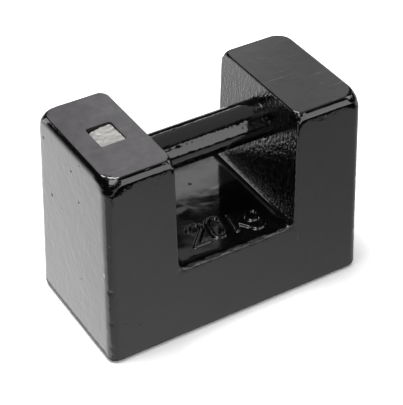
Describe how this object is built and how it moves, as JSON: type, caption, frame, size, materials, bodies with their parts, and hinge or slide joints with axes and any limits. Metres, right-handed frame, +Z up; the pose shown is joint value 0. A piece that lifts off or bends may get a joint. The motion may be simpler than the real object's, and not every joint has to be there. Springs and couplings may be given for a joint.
{
  "type": "calibration weight",
  "caption": "Rectangular cast iron block weight with a hand gap, a round steel grip bar between two uprights and a lead-sealed adjusting cavity.",
  "frame": {"origin": "middle of the base, on the surface that the weight stands on", "axes": "+X along the length, from the upright with the adjusting cavity to the plain one, +Y across the width towards the back, +Z up"},
  "size_m": [0.2194, 0.1118, 0.1611],
  "materials": {
    "enamelled_iron": "gloss",
    "enamelled_steel": "gloss",
    "plate_steel": "satin",
    "seal_lead": "satin",
    "shot_lead": "satin"
  },
  "bodies": {
    "root": {"weight_block": "enamelled_iron", "grip_bar": "enamelled_steel", "cavity_plate": "plate_steel", "seal_plug": "seal_lead", "adjusting_shot": "shot_lead"}
  },
  "joints": []
}
